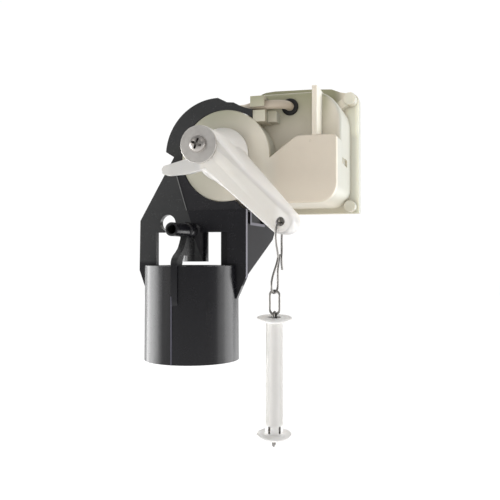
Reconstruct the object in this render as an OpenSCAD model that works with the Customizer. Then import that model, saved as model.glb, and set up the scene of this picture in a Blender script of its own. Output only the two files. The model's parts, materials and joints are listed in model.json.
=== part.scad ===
// Automatic flush valve: motor driven lifting lever on an overflow pipe bracket.
// Millimetres. X is to the right, Y is away from the viewer, Z is up.
// The origin is the centre of the lower mouth of the sleeve that slides on the overflow pipe.

/* [Sleeve] */
// Bore of the sleeve that slides over the overflow pipe
sleeve_id = 38.5; // [38:0.1:39]
// Outside diameter of the sleeve at its upper end
sleeve_od = 43.5; // [43:0.1:44.5]
// Height of the sleeve
sleeve_h = 43.5; // [42:0.5:43.5]

/* [Bracket] */
// Thickness of the bracket plate
plate_t = 3; // [2.5:0.1:3]
// Half width of the overflow window in the plate
window_half = 17.8; // [16:0.1:18]
// Outside radius of the refill nozzle
nozzle_r = 3.05; // [2.8:0.05:3.3]

/* [Lever] */
// X of the lever axis
axis_x = 16.6; // [16.5:0.1:16.7]
// Z of the lever axis
axis_z = 94.1; // [94:0.1:94.2]
// Radius of the chain hole at the end of the lever
chain_hole_r = 1.8; // [1.75:0.05:1.9]
// Radius of the large washer
washer_r = 7.9; // [7:0.1:8.2]

/* [Gear case] */
// Radius of the round front drum
drum_r = 21; // [20.8:0.1:21.3]
// Wall thickness of the gear case
wall = 2; // [1.8:0.1:2]
// Radius of the output shaft
shaft_r = 3; // [2.9:0.05:3]

/* [Chain] */
// Wire diameter of the chain links and the spring clip
wire_d = 0.95; // [0.9:0.01:0.96]
// Outside radius of the guard tube
tube_r = 3.45; // [3.3:0.05:3.6]
// Radius of the guard tube's end flanges
flange_r = 7.25; // [6.5:0.05:7.5]

/* [Cable] */
// Diameter of the power cable
cable_d = 4; // [4:0.1:4.1]

/* [Hidden] */
$fn = 64;

AX = axis_x;
AZ = axis_z;
PY0 = -1;               // front face of plate, drum and box
PY1 = PY0 + plate_t;
panel_y = 12;           // front face of the recessed panel
flange_y = 40;          // front face of the rear flange
joint_y = 43;           // joint between the two case halves
back_y = 47;            // rear face of the case
sr = sleeve_od / 2;
br = sleeve_id / 2;

// gear train: teeth, modules and centres
m3 = 0.8; z3 = 40; zp2 = 10;
m2 = 0.65; z2 = 32; zp1 = 10;
m1 = 0.5; z1 = 54; zm = 10;
c3 = [AX, AZ];
a32 = 22;
c2 = c3 + m3 * (z3 + zp2) / 2 * [cos(a32), sin(a32)];
cm = [55.3, 88.5];
d21 = m2 * (z2 + zp1) / 2;
d1m = m1 * (z1 + zm) / 2;
v2m = cm - c2;
l2m = norm(v2m);
q2 = (d21 * d21 - d1m * d1m + l2m * l2m) / (2 * l2m);
h2 = sqrt(d21 * d21 - q2 * q2);
c1 = c2 + q2 * v2m / l2m + h2 * [-v2m[1], v2m[0]] / l2m;
function ang(v) = atan2(v[1], v[0]);
// tooth phase of a gear so that it meshes with its neighbour
function phase(al, th, za, zb) = al + 180 - 180 / zb + (al - th) * za / zb;
th3 = 0;
thp2 = phase(a32, th3, z3, zp2);
al21 = ang(c1 - c2);
th2 = 0;
thp1 = phase(al21, th2, z2, zp1);
al1m = ang(cm - c1);
th1 = 0;
thm = phase(al1m, th1, z1, zm);

// lever
arm_a = -43.3;          // direction of the arm
hx = 51.3; hz = 61.7;   // chain hole
ly0 = -34;              // front face of the lever
lev_wall = 2.2;

// chain
wr = wire_d / 2;
link_w = 4.9;
link_l = 10.4;
link_pitch = link_l - 2 * wire_d - 0.02;
small_l = link_l - 0.75; // links inside the guard tube
hang_z = 25.135;         // where the tube's chain hangs in the upper link
hang_a = 6;              // lean of the hanging tube, its foot away from the front
cx = 49.1; cy = -34.6;  // line of the hanging chain
link_top = 34.1;        // wire centre at the top of the first link

// cable: hand set routes
gx = 44.5; gz = 117.5;   // cable outlet
lead_pts = [[gx, 10.4, gz], [44.3, 8.2, 117.5], [43.5, 6.2, 117.5], [42.2, 4.6, 117.4], [40.2, 3.3, 117.3], [37.6, 2.7, 117.2],
  [33, 2.8, 117.1], [29.2, 3.7, 117], [26.5, 5.4, 117], [24.2, 7.8, 117.2], [22.1, 10.8, 117.8], [19.8, 14, 118.5], [16.8, 17.4, 118.9],
  [13, 20.6, 118.7], [9.6, 24.4, 118.2], [6.9, 29, 117.9], [5.1, 34, 117.8], [4.5, 38, 117.8], [4.6, 42, 117.9], [5.4, 46, 118.4], [8, 49.6, 119.6],
  [12, 52.4, 121.3], [17, 54.1, 123], [23, 54.8, 124.4], [30, 55, 125]];
coil_c = [38, 101];
coil_mid = 24;
coil_in = 20;
coil_y0 = 53;
coil_y1 = 69.4;
tail_pts = [[18.1, 57.6, 103], [19.2, 58.2, 106.5], [21.5, 59, 109.2], [24.6, 59.7, 110.8], [28, 60, 111.1], [31.4, 60, 110.2],
  [34.3, 60, 108.2], [36.2, 60, 105.3], [36.9, 60, 102], [37, 60, 98.6]];

BLACK = [0.10, 0.10, 0.11];
CREAM = [0.90, 0.88, 0.80];
WHITE = [0.95, 0.95, 0.94];
STEEL = [0.72, 0.72, 0.72];

// ---- helpers -------------------------------------------------------------
// extrude a drawing in X and Z between two depths
module xz(y0, y1) { translate([0, y1, 0]) rotate([90, 0, 0]) linear_extrude(y1 - y0) children(); }
// extrude a drawing in Y and Z between two X values
module yz(x0, x1) { translate([x0, 0, 0]) rotate([90, 0, 90]) linear_extrude(x1 - x0) children(); }
// cylinder along Y
module ycyl(x, z, y0, y1, r, rb = undef) {
  translate([x, y0, z]) rotate([-90, 0, 0]) cylinder(h = y1 - y0, r1 = r, r2 = rb == undef ? r : rb);
}
// body of revolution about a Y axis, profile of [radius, depth] points
module yrev(x, z) { translate([x, 0, z]) rotate([-90, 0, 0]) rotate_extrude() children(); }

function unit(v) = v / norm(v);
function tang(p, i) = unit(p[min(i + 1, len(p) - 1)] - p[max(i - 1, 0)]);
function perp(n, t) = unit(n - (n * t) * t);
function nrm(p, n0, i) = i == 0 ? perp(n0, tang(p, 0)) : perp(nrm(p, n0, i - 1), tang(p, i));
function rings(p, n0, r, k) = [for (i = [0:len(p) - 1]) let (t = tang(p, i), n = nrm(p, n0, i), b = cross(t, n))
  for (j = [0:k - 1]) p[i] + r * (cos(360 * j / k) * n + sin(360 * j / k) * b)];
module sweep(p, r, k = 10, n0 = [0, 0, 1]) {
  m = len(p);
  polyhedron(points = rings(p, n0, r, k), faces = concat(
    [[for (j = [0:k - 1]) j]],
    [for (i = [0:m - 2]) for (j = [0:k - 1]) [i * k + j, (i + 1) * k + j, (i + 1) * k + (j + 1) % k, i * k + (j + 1) % k]],
    [[for (j = [0:k - 1]) (m - 1) * k + k - 1 - j]]), convexity = 10);
}
// smooth curve through hand set points
function cr(a, b, c, d, t) = 0.5 * ((2 * b) + (c - a) * t + (2 * a - 5 * b + 4 * c - d) * t * t + (3 * b - a - 3 * c + d) * t * t * t);
function smooth(p, s) = concat([for (i = [0:len(p) - 2]) for (k = [0:s - 1])
  cr(p[max(i - 1, 0)], p[i], p[i + 1], p[min(i + 2, len(p) - 1)], k / s)], [p[len(p) - 1]]);

// involute gear drawing
function inv_pt(rb, a) = [rb * (cos(a) + a * PI / 180 * sin(a)), rb * (sin(a) - a * PI / 180 * cos(a))];
function inv_ang(rb, r) = r <= rb ? 0 : sqrt(r * r / rb / rb - 1) * 180 / PI;
function inv_off(rb, r) = let (a = inv_ang(rb, r), p = inv_pt(rb, a)) atan2(p[1], p[0]);
module gear2d(m, z, th = 0, thin = 0.43, add = 0.85) {
  r = m * z / 2; rb = r * cos(20); ro = r + add * m; rr = r - 1.15 * m;
  half = thin * 180 / z;
  function ha(q) = half + inv_off(rb, r) - inv_off(rb, q);
  rs = [rr, max(rr, rb) + 0.01, r, (r + ro) / 2, ro];
  polygon([for (i = [0:z - 1]) let (c = th + 360 * i / z) each concat(
    [for (q = rs) q * [cos(c - ha(q)), sin(c - ha(q))]],
    [for (j = [len(rs) - 1:-1:0]) rs[j] * [cos(c + ha(rs[j])), sin(c + ha(rs[j]))]])]);
}

// ---- case outlines (X, Z) --------------------------------------------------
// outline of a ring of circles [x, z, r], all radii reduced by d
function turn(a, b) = ang([b[0] - a[0], b[1] - a[1]]) - acos((a[2] - b[2]) / norm([b[0] - a[0], b[1] - a[1]]));
function outline(cs, d, n = 8) = [for (i = [0:len(cs) - 1]) let (m = len(cs), c = cs[i], a0 = turn(cs[(i + m - 1) % m], c),
  a1 = turn(c, cs[(i + 1) % m]), w = (a1 - a0 + 720) % 360) for (k = [0:n]) [c[0] + (c[2] - d) * cos(a0 + w * k / n), c[1] + (c[2] - d) * sin(a0 + w * k / n)]];
body_cs = [[30, 75.6, 4], [59.9, 80.1, 8.5], [54.6, 110.6, 13.8], [31, 120.4, 4]];
box_cs = [[35, 73.6, 2], [59.9, 80.1, 8.5], [66.4, 99.9, 2], [50.77, 99.9, 2], [35, 88.07, 2]];
module body2d(d = 0) {
  translate(c3) circle(r = 22 - d, $fn = 96);
  polygon(outline(body_cs, d));
}
// block with a rounded front rim
module round_block(cs, y0, y1, rim, k = 4) {
  n = len(outline(cs, 0));
  pts = concat([for (p = outline(cs, 0)) [p[0], y1, p[1]]],
    [for (j = [0:k]) for (p = outline(cs, rim * (1 - cos(90 * j / k)))) [p[0], y0 + rim * (1 - sin(90 * j / k)), p[1]]]);
  polyhedron(points = pts, faces = concat([[for (i = [0:n - 1]) i]],
    [for (j = [0:k]) for (i = [0:n - 1]) [j * n + (i + 1) % n, j * n + i, (j + 1) * n + i, (j + 1) * n + (i + 1) % n]],
    [[for (i = [0:n - 1]) (k + 2) * n - 1 - i]]), convexity = 6);
}
module raised2d() {
  translate(c3) circle(r = drum_r, $fn = 96);
  polygon(outline(box_cs, 0));
  polygon([[20, 90], [24.5, 76.5], [28, 71.6], [37.8, 71.6], [37.8, 94.1], [30, 96]]);
}
module flange2d() {
  difference() {
    union() {
      translate(c3) circle(r = 24, $fn = 96);
      polygon([[22, 74], [24, 69.1], [72.6, 69.1], [72.6, 124.3], [69.6, 128.2], [63.4, 129.6], [59, 131.4], [48.5, 132.1], [29.7, 132.4], [25, 132], [22.6, 131.2], [21.8, 129.5], [21.6, 122]]);
      for (p = case_screw_xy) translate(p) circle(r = 3.9);
    }
    translate([0, 60]) square([100, 9.1]);
  }
}
case_screw_xy = [[68.7, 124.7], [68.6, 73], [26.8, 126.4], c3 + 24.6 * [cos(146), sin(146)], c3 + 24.6 * [cos(212), sin(212)]];
post_xy = [[60.6, 116.4], [62.6, 77.4], [31.5, 118.4], [30.5, 77.2]];
post_y0 = [13, 0, 13, 0];
post_r = [2.8, 2.8, 2.8, 2.8];
board_xy = [[5, 84], [5, 105], [25.5, 82]];
tab_screw_xy = [[13.5, 78.5], [22.5, 78.5]];

// ---- bracket ---------------------------------------------------------------
module plate2d() {
  difference() {
    union() {
      polygon([[-21.4, 30.8], [-22.9, 31.2], [-26.5, 41.2], [-26.1, 64.7], [-8.7, 94.6], [0, 98], [16, 90], [21.6, 73.0],
        [22.4, 72.8], [25.6, 69.8], [26.8, 69.4], [26.8, 38.6], [22.2, 28.2], [19.6, 31.6], [18, 34], [-18, 34]]);
      hood2d();
    }
    translate(c3) circle(r = drum_r + 0.3, $fn = 96);
    translate([-window_half, sleeve_h]) square([2 * window_half, 15.5]);
    translate([-11.8, 63.5]) circle(r = 3.85, $fn = 40);
  }
}
// eccentric hood that wraps the drum from the left to the top
module hood2d() {
  difference() {
    intersection() {
      translate([13.05, 95.15]) circle(r = 25.95, $fn = 96);
      polygon([[-20, 99.8], [-12.85, 97.1], [-8.7, 94.5], [13, 90], [29.4, 110.8], [29.65, 112.4], [29.65, 114.8], [26.6, 115.7], [23.9, 116.8], [20.8, 118.5], [17.7, 118.8], [13.2, 121.1], [-20, 130]]);
    }
    translate(c3) circle(r = drum_r + 0.3, $fn = 96);
  }
}
module bracket() {
  color(BLACK) difference() {
    union() {
      // sleeve, slightly tapered, with the parting ridge down its front
      cylinder(h = sleeve_h, r1 = sr + 0.3, r2 = sr, $fn = 128);
      translate([-1.35, -sr - 0.45, 0]) cube([0.7, 1, 30]);
      xz(PY0, PY1) plate2d();
      // raised cradle face around the drum and bead along its left edge
      xz(PY0 - 0.5, PY0 + 0.1) difference() {
        polygon([[-7.2, 85.6], [-2.1, 69.2], [25.4, 69.4], [22.2, 72.6], [16, 80], [0, 90], [-6.4, 86.6]]);
        translate(c3) circle(r = drum_r + 0.3, $fn = 96);
      }
      xz(PY0 - 0.9, PY0 - 0.4) polygon([[-7.3, 85.7], [-2.2, 69.2], [-1.7, 69.2], [-6.8, 85.9]]);
      // window side rib behind the plate
      translate([13.7, PY1 - 0.1, 43.2]) cube([4.2, 4.5, 19]);
      // gusset on the right, under the gear case
      yz(24.2, 26.8) polygon([[0, 40], [1.8, 39.2], [46.5, 56.4], [50, 59.8], [50, 82], [47, 82], [47, 69.1], [0, 69.1]]);
      // shelf and its ribs
      translate([2, PY1 - 0.5, 66.4]) cube([24.8, 46, 2.7]);
      for (x = [6, 15, 24.2]) yz(x, x + 2) polygon([[13.6, 69], [38.8, 69], [38.8, 71.4], [13.6, 71.4]]);
      // rear tab that the case is screwed to
      xz(back_y, 50) offset(r = 2) offset(delta = -2) polygon([[8.5, 60.2], [26.8, 60.2], [26.8, 83], [8.5, 83]]);
      translate([2, 44, 62]) cube([24.8, 6, 7.1]);
      // refill nozzle with collar, elbow and downspout
      yrev(0, 59.6) polygon([[0, -24.2], [nozzle_r - 0.2, -24.2], [nozzle_r, -24], [nozzle_r, -12], [nozzle_r + 0.1, -9.4], [3.7, -8.9], [3.9, -8.4], [3.9, -6.9], [3.6, -6.3], [3.6, 4], [0, 4]]);
      translate([0.6, 3.6, 45.3]) cylinder(h = 15.5, r = 6, $fn = 64);
      translate([0.6, 3.6, 60.8]) scale([1, 1, 0.6]) sphere(r = 6, $fn = 48);
      // web from the nozzle down to the front of the sleeve
      yz(-0.95, 2.1) polygon([[-2.2, 57], [-11.3, 57.4], [-11.95, 55.9], [-13.2, 53.8], [-14.9, 51.5], [-17.6, 49.6], [-20.6, 48], [-22.3, 46.4], [-22.9, 44.9], [-22.9, 28.6], [-22.2, 26.2], [-20.5, 26.2], [-20.5, 42.6], [-17.4, 43.2], [-15.2, 48], [-2.2, 48]]);
    }
    // bore for the overflow pipe, with a stop ledge above it
    translate([0, 0, -1]) cylinder(h = 42.5, r = br, $fn = 128);
    translate([0, 0, 30]) cylinder(h = sleeve_h - 29.9, r = br - 2, $fn = 96);
    // water way
    translate([0.6, 3.6, 45]) cylinder(h = 15.6, r = 4.4, $fn = 48);
    ycyl(0, 59.6, -24.3, 3.6, 2.1);
    // moulded pockets in the outer face of the gusset
    yz(25, 27) polygon([[8.2, 63.7], [30, 63.7], [30, 68.3], [8.2, 68.3]]);
    yz(25, 27) polygon([[2, 62.9], [5.9, 62.9], [5.9, 68.3], [2, 68.3]]);
    // screw holes in the rear tab
    for (p = tab_screw_xy) ycyl(p[0], p[1], 46, 51, 1.6);
  }
}

// ---- case ------------------------------------------------------------------
module case_front() {
  color(CREAM) difference() {
    union() {
      xz(PY0, panel_y + 0.5) {
        translate(c3) circle(r = drum_r, $fn = 96);
        polygon([[20, 90], [24.5, 76.5], [28, 71.6], [37.8, 71.6], [37.8, 94.1], [30, 96]]);
      }
      round_block(box_cs, PY0, 17, 0.7);
      xz(panel_y, flange_y + 0.1) translate(c3) circle(r = 22, $fn = 96);
      round_block(body_cs, panel_y, flange_y + 0.1, 2);
      xz(flange_y, joint_y) flange2d();
      // shaft boss
      ycyl(AX, AZ, -3.2, 0, 6.6);
      // upright fin on the panel
      translate([57.4, PY0 + 0.2, 99]) cube([2.1, 15, 24.8]);
      // cable clip: hook over the cable and two rests below it
      yz(28.9, 35.4) polygon([[-1.4, 115.9], [0.2, 115.9], [0.2, 119.35], [15, 119.35], [15, 120.7], [-1.4, 120.7]]);
      translate([29.9, -0.6, 109.2]) cube([5.8, 14, 5.2]);
      translate([35.6, 5, 109.7]) cube([4, 8, 5]);
      // screw bosses in front of the flange
      for (i = [0, 1, 2]) ycyl(case_screw_xy[i][0] + 0.3, case_screw_xy[i][1] - (i == 1 ? 0.7 : 0), 33, 41, i == 1 ? 2.7 : 3);
      translate([60.4, 34, 119.6]) rotate([0, -31, 0]) translate([0, 0, -1.9]) cube([9, 7, 3.8]);
    }
    // cavity
    difference() {
      union() {
        xz(panel_y + wall, joint_y + 1) body2d(wall);
        xz(PY0 + wall, panel_y + wall + 0.1) offset(delta = -wall) raised2d();
      }
      // bearing boss, axle bosses and posts
      ycyl(AX, AZ, 0, 6.5, 7.2);
      ycyl(c2[0], c2[1], 12, 14.7, 3);
      ycyl(c1[0], c1[1], 12, 20, 3.2);
      for (i = [0:3]) ycyl(post_xy[i][0], post_xy[i][1], post_y0[i], 26, post_r[i]);
    }
    // seat of the front bush and of the shaft seal
    ycyl(AX, AZ, -4, 7, 5);
    // axle holes
    ycyl(c2[0], c2[1], 12.5, 15, 1.25);
    ycyl(c1[0], c1[1], 14.5, 21, 1.25);
    // pilot holes of the plate screws
    for (p = post_xy) ycyl(p[0], p[1], 19.4, 26.1, 0.9);
    // cable outlet
    ycyl(gx, gz, 11, 15, 2.9);
    // gasket groove and screw pilot holes
    xz(joint_y - 1.2, joint_y + 0.1) gasket2d();
    for (p = case_screw_xy) ycyl(p[0], p[1], 35.5, joint_y + 1, 1.3);
    // moulding pip and drain slit
    ycyl(56.7, 99.1, PY0 - 0.1, PY0 + 0.2, 0.55);
    translate([67.2, 21, 90.4]) cube([3, 8.6, 3.4]);
    translate([68, 15.4, 90.8]) cube([3, 3, 2.8]);
  }
}
module gasket2d() {
  difference() {
    body2d(-0.9);
    body2d(0.7);
  }
}
module case_gasket() { color([0.25, 0.25, 0.26]) xz(joint_y - 1.2, joint_y) gasket2d(); }

module case_back() {
  color(CREAM) difference() {
    union() {
      xz(joint_y, back_y - 0.6) flange2d();
      xz(back_y - 0.7, back_y) offset(delta = -0.6) flange2d();
      // spigot inside the front half
      xz(40.8, joint_y + 0.1) difference() {
        body2d(wall + 0.15);
        body2d(wall + 1.7);
      }
      // axle boss and board posts
      ycyl(c1[0], c1[1], 34.6, joint_y + 1, 3.2);
      for (p = board_xy) ycyl(p[0], p[1], 35.6, joint_y + 1, 2.4);
      // screw bosses of the bracket tab
      for (p = tab_screw_xy) ycyl(p[0], p[1], 39.4, joint_y + 1, 3);
      // tie lug and stiffening ribs
      translate([57, back_y - 0.1, 98.4]) cube([6, 5.1, 5.2]);
      for (z = [80, 101, 122]) translate([29, back_y - 0.1, z - 0.6]) cube([26, 0.9, 1.2]);
    }
    // shallow inner relief
    xz(joint_y - 0.1, joint_y + 1.6) difference() {
      body2d(wall + 1.7);
      translate(c1) circle(r = 3.2);
      for (p = board_xy) translate(p) circle(r = 2.4);
      for (p = tab_screw_xy) translate(p) circle(r = 3);
    }
    translate([56, 49, 99.6]) cube([8, 1.6, 2.8]);
    ycyl(c1[0], c1[1], 34, 40, 1.25);
    for (p = board_xy) ycyl(p[0], p[1], 35, 42, 0.9);
    for (p = tab_screw_xy) ycyl(p[0], p[1], 40.4, back_y + 1, 1.3);
    for (p = case_screw_xy) { ycyl(p[0], p[1], 40, back_y + 1, 1.6); ycyl(p[0], p[1], back_y - 1.9, back_y + 1, 3); }
  }
}
// cross recessed pan head screw along Y, head towards +Y
module pan_screw(x, z, yh, len, r, hr, hh) {
  difference() {
    union() {
      ycyl(x, z, yh - len, yh + 0.01, r);
      yrev(x, z) polygon([[0, yh], [hr, yh], [hr, yh + hh * 0.45], [hr * 0.8, yh + hh * 0.85], [hr * 0.45, yh + hh], [0, yh + hh]]);
    }
    for (a = [0, 90]) translate([x, yh + hh, z]) rotate([0, a + 20, 0]) cube([hr * 1.1, hh * 1.2, hr * 0.28], center = true);
  }
}
module case_screws() { color(STEEL) for (p = case_screw_xy) pan_screw(p[0], p[1], back_y - 1.9, 9, 1.3, 2.7, 1.7); }
module bracket_screws() { color(STEEL) for (p = tab_screw_xy) pan_screw(p[0], p[1], 50, 9, 1.3, 2.7, 1.7); }

// ---- gear train --------------------------------------------------------------
module gear_plate() {
  color([0.75, 0.75, 0.78]) xz(26, 28) difference() {
    union() {
      intersection() {
        body2d(wall + 0.4);
        translate([-10, 73]) square([75.5, 50]);
      }
    }
    translate(c3) circle(r = 5);
    translate(c2) circle(r = 1.25);
    translate(c1) circle(r = 4.6);
    translate(cm) circle(r = 3.2);
    for (s = [-1, 1]) translate(cm + s * 7 * [0.37, 0.929]) circle(r = 1.1);
    for (p = post_xy) translate(p) circle(r = 1.2);
    translate([gx, gz + 0.6]) circle(r = 3.1);
    translate([47, 73]) square([5, 3.6]);
  }
}
module plate_screws() { color(STEEL) for (p = post_xy) pan_screw(p[0], p[1], 28, 8, 0.9, 1.9, 1.3); }

module motor_can() {
  color(STEEL) difference() {
    union() {
      yrev(cm[0], cm[1]) polygon([[0, 26], [9.4, 26], [10.1, 25.3], [10.1, 6], [9.3, 6], [9.3, 25.1], [0, 25.1]]);
      ycyl(cm[0], cm[1], 25.4, 27.2, 3);
    }
    ycyl(cm[0], cm[1], 20, 30, 1.05);
    for (s = [-1, 1]) ycyl(cm[0] + s * 7 * 0.37, cm[1] + s * 7 * 0.929, 24, 27, 0.9);
  }
}
module motor_magnets() {
  color([0.2, 0.2, 0.22]) difference() {
    ycyl(cm[0], cm[1], 10, 23, 9.2);
    ycyl(cm[0], cm[1], 9, 24, 8.1);
    translate([cm[0] - 11, 9, cm[1] - 2.6]) cube([22, 15, 5.2]);
  }
}
module motor_end_cap() {
  color([0.15, 0.15, 0.16]) difference() {
    union() {
      ycyl(cm[0], cm[1], 4.2, 6, 10.1);
      ycyl(cm[0], cm[1], 5.9, 8.4, 9.25);
      ycyl(cm[0], cm[1], 3.2, 4.3, 3.4);
    }
    ycyl(cm[0], cm[1], 3.8, 9, 1.05);
    for (s = [-1, 1]) translate([cm[0] + s * 6 - 1, 3, cm[1] - 0.25]) cube([2, 6, 0.5]);
  }
}
module motor_terminals() {
  color([0.8, 0.65, 0.3]) for (s = [-1, 1]) translate([cm[0] + s * 6 - 1, 1.6, cm[1] - 0.25]) cube([2, 6, 0.5]);
}
module motor_screws() { color(STEEL) for (s = [-1, 1]) pan_screw(cm[0] + s * 7 * 0.37, cm[1] + s * 7 * 0.929, 28, 3.4, 0.9, 1.6, 1.1); }
module motor_shaft() {
  color(STEEL) union() {
    ycyl(cm[0], cm[1], 4.4, 35, 1);
    // wound rotor
    ycyl(cm[0], cm[1], 10, 23, 7.6);
    ycyl(cm[0], cm[1], 8.9, 10.1, 3.2);
  }
}
module motor_pinion() {
  color([0.8, 0.65, 0.3]) xz(29, 34.4) difference() {
    translate(cm) gear2d(m1, zm, thm, 0.42, 0.8);
    translate(cm) circle(r = 1);
  }
}
module first_gear() {
  color([0.93, 0.93, 0.9]) difference() {
    union() {
      xz(29.6, 32.4) translate(c1) gear2d(m1, z1, th1, 0.43, 0.8);
      ycyl(c1[0], c1[1], 25.4, 34.2, 2.6);
      xz(20.4, 25.6) translate(c1) gear2d(m2, zp1, thp1, 0.42, 0.8);
    }
    ycyl(c1[0], c1[1], 15, 36, 1.3);
    for (a = [0:60:300]) ycyl(c1[0] + 8.2 * cos(a), c1[1] + 8.2 * sin(a), 29, 33, 2.3);
  }
}
module first_axle() { color(STEEL) ycyl(c1[0], c1[1], 14.5, 40, 1.25); }
module second_gear() {
  color([0.93, 0.93, 0.9]) difference() {
    union() {
      xz(21.2, 24.6) translate(c2) gear2d(m2, z2, th2, 0.43, 0.8);
      ycyl(c2[0], c2[1], 19.9, 25.4, 3.2);
      xz(15, 20) translate(c2) gear2d(m3, zp2, thp2, 0.42, 0.8);
    }
    ycyl(c2[0], c2[1], 14, 27, 1.3);
  }
}
module second_axle() { color(STEEL) ycyl(c2[0], c2[1], 12.5, 28, 1.25); }
module output_gear() {
  color([0.93, 0.93, 0.9]) difference() {
    union() {
      xz(15.2, 19.6) translate(c3) gear2d(m3, z3, th3, 0.43, 0.8);
      ycyl(AX, AZ, 8, 25, 6);
      ycyl(AX, AZ, 24.9, 25.2, 4);
    }
    ycyl(AX, AZ, 7, 26, shaft_r);
    for (a = [30:60:330]) ycyl(AX + 10.3 * cos(a), AZ + 10.3 * sin(a), 15, 20, 2.6);
    ycyl(AX, AZ + 10.3 * 0 + 4.6, 23, 25.3, 1.25);
  }
}
module position_magnet() { color(STEEL) ycyl(AX, AZ + 4.6, 23, 25, 1.25); }
module output_shaft() {
  color(STEEL) difference() {
    ycyl(AX, AZ, -33.8, 28.6, shaft_r);
    // flat that drives the lever
    translate([AX + 2.2, -34, AZ - 4]) cube([2, 22, 8]);
    ycyl(AX, AZ, -34, -20, 1.95);
  }
}
module front_bush() {
  color([0.8, 0.65, 0.3]) difference() { ycyl(AX, AZ, -0.4, 7, 5); ycyl(AX, AZ, -1, 8, shaft_r + 0.04); }
}
module rear_bush() {
  color([0.8, 0.65, 0.3]) difference() {
    union() { ycyl(AX, AZ, 25.6, 28.6, 5); ycyl(AX, AZ, 28, 29.2, 6.2); }
    ycyl(AX, AZ, 25, 30, shaft_r + 0.04);
  }
}
module shaft_seal() {
  color([0.12, 0.12, 0.12]) difference() { ycyl(AX, AZ, -2.8, -0.4, 5); ycyl(AX, AZ, -3, 0, shaft_r + 0.04); ycyl(AX, AZ, -2.9, -2, 4.2, 3.3); }
}
module circuit_board() {
  color([0.1, 0.4, 0.2]) xz(34, 35.6) difference() {
    intersection() {
      body2d(wall + 1.9);
      translate([-2, 76.2]) square([34, 36]);
    }
    for (p = board_xy) translate(p) circle(r = 1.2);
  }
}
module board_parts() {
  color([0.12, 0.12, 0.13]) {
    translate([14.8, 32.8, 96.9]) cube([3.6, 1.2, 3]);
    translate([8, 32.4, 86]) cube([6, 1.6, 4.4]);
    translate([20, 32.6, 104]) cube([4, 1.4, 3]);
    translate([12, 30.4, 78.2]) cube([5, 3.6, 4]);
    ycyl(9, 99, 29.5, 34, 2.5);
  }
}
module board_screws() {
  color(STEEL) for (p = board_xy) difference() {
    union() { ycyl(p[0], p[1], 33.9, 41, 0.9); ycyl(p[0], p[1], 32.8, 34, 1.8); }
    for (a = [0, 90]) translate([p[0], 32.8, p[1]]) rotate([0, a + 15, 0]) cube([2, 1, 0.5], center = true);
  }
}

// ---- lever -------------------------------------------------------------------
// end of the arm, seen from the front; a hull of four thin discs
module arm(w, y0) {
  hull() {
    ycyl(AX - 0.5, AZ - 0.6, y0, y0 + 0.2, 4.3 - w, $fn = 32);
    ycyl(AX - 0.5, AZ - 0.6, y0 + 0.4, y0 + 0.6, 5.2 - w, $fn = 32);
    ycyl(AX - 0.4, AZ - 0.5, y0 + 1.3, y0 + 1.6, 5.9 - w, $fn = 32);
    ycyl(51, 61.6, y0, y0 + 0.2, 3.7 - w, $fn = 32);
    ycyl(51.1, 61.7, y0 + 0.4, y0 + 0.6, 4.6 - w, $fn = 32);
    ycyl(51.3, 61.8, y0 + 1.5, y0 + 1.8, 5.2 - w, $fn = 32);
    ycyl(51.6, 62, y0 + 4, y0 + 5, 5.45 - w, $fn = 32);
    ycyl(AX + 0.2, AZ, -6.4 + w / 4, -4 + w, 8.3 - w, $fn = 32);
    ycyl(51.8, 62, -25 + w / 4, -22.8 + w / 2, 5.3 - w, $fn = 32);
  }
}
module lever() {
  color(WHITE) difference() {
    union() {
      arm(0, ly0);
      // shoulder between the hub and the arm
      hull() {
        ycyl(AX, AZ, ly0 + 0.3, ly0 + 1.5, 7, $fn = 48);
        ycyl(AX, AZ, ly0 + 1.5, -14, 8.1, $fn = 48);
        ycyl(AX + 13.1, AZ - 12.35, ly0 + 0.7, ly0 + 1, 5.2, $fn = 32);
        ycyl(AX + 13.1, AZ - 12.35, ly0 + 2, -14, 6.3, $fn = 32);
      }
      // bell shaped hub
      yrev(AX, AZ) polygon([[0, -34], [7.7, -34], [8.1, -33.6], [8.2, -20], [8.8, -16], [9.9, -12], [11.2, -8], [12.2, -5.2], [12.4, -4], [0, -4]]);
      // manual lifting tab
      xz(-34, -29.5) translate(c3) offset(r = 0.5) offset(delta = -0.5) polygon([[-16.9, -9.6], [-16.0, -8.3], [-7.6, -6.2], [-2, -4.6], [2, -4], [4, -9],
        [0.9, -10.2], [-5.6, -11.7], [-15, -12.2], [-16.4, -11.6]]);
    }
    // hollow of the arm, open at the back except behind the chain hole
    difference() {
      arm(1.7, ly0 + lev_wall);
      ycyl(AX, AZ, -35, 0, 9.9);
      translate([43, -26, 50]) cube([20, 10, 20]);
    }
    // hollow of the hub around the shaft boss
    yrev(AX, AZ) polygon([[5.4, -14], [8.4, -14], [8.4, -3.9], [5.4, -3.9]]);
    // shaft bore with its flat
    difference() {
      ycyl(AX, AZ, -35, -3, shaft_r);
      translate([AX + 2.2, -36, AZ - 4]) cube([2, 24, 8]);
    }
    // chain hole
    translate([hx, 0, hz]) scale([0.86, 1, 1]) ycyl(0, 0, -35, -31, chain_hole_r, $fn = 40);
    translate([hx, 0, hz]) ycyl(0, 0, -34.1, -33.4, chain_hole_r + 0.3, chain_hole_r - 0.3, $fn = 40);
    // side relief that lets the clip hang at every angle of the lever
    xz(ly0 + lev_wall, -26.6) translate([hx - 0.2, hz + 0.6]) polygon([for (a = [-132:6:-24]) 12 * [cos(arm_a + a), sin(arm_a + a)], [0, 0]]);
  }
}
module lever_washer() {
  color(STEEL) difference() { ycyl(AX, AZ, -35.2, -34, washer_r); ycyl(AX, AZ, -36, -33, 2.15); }
}
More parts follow.
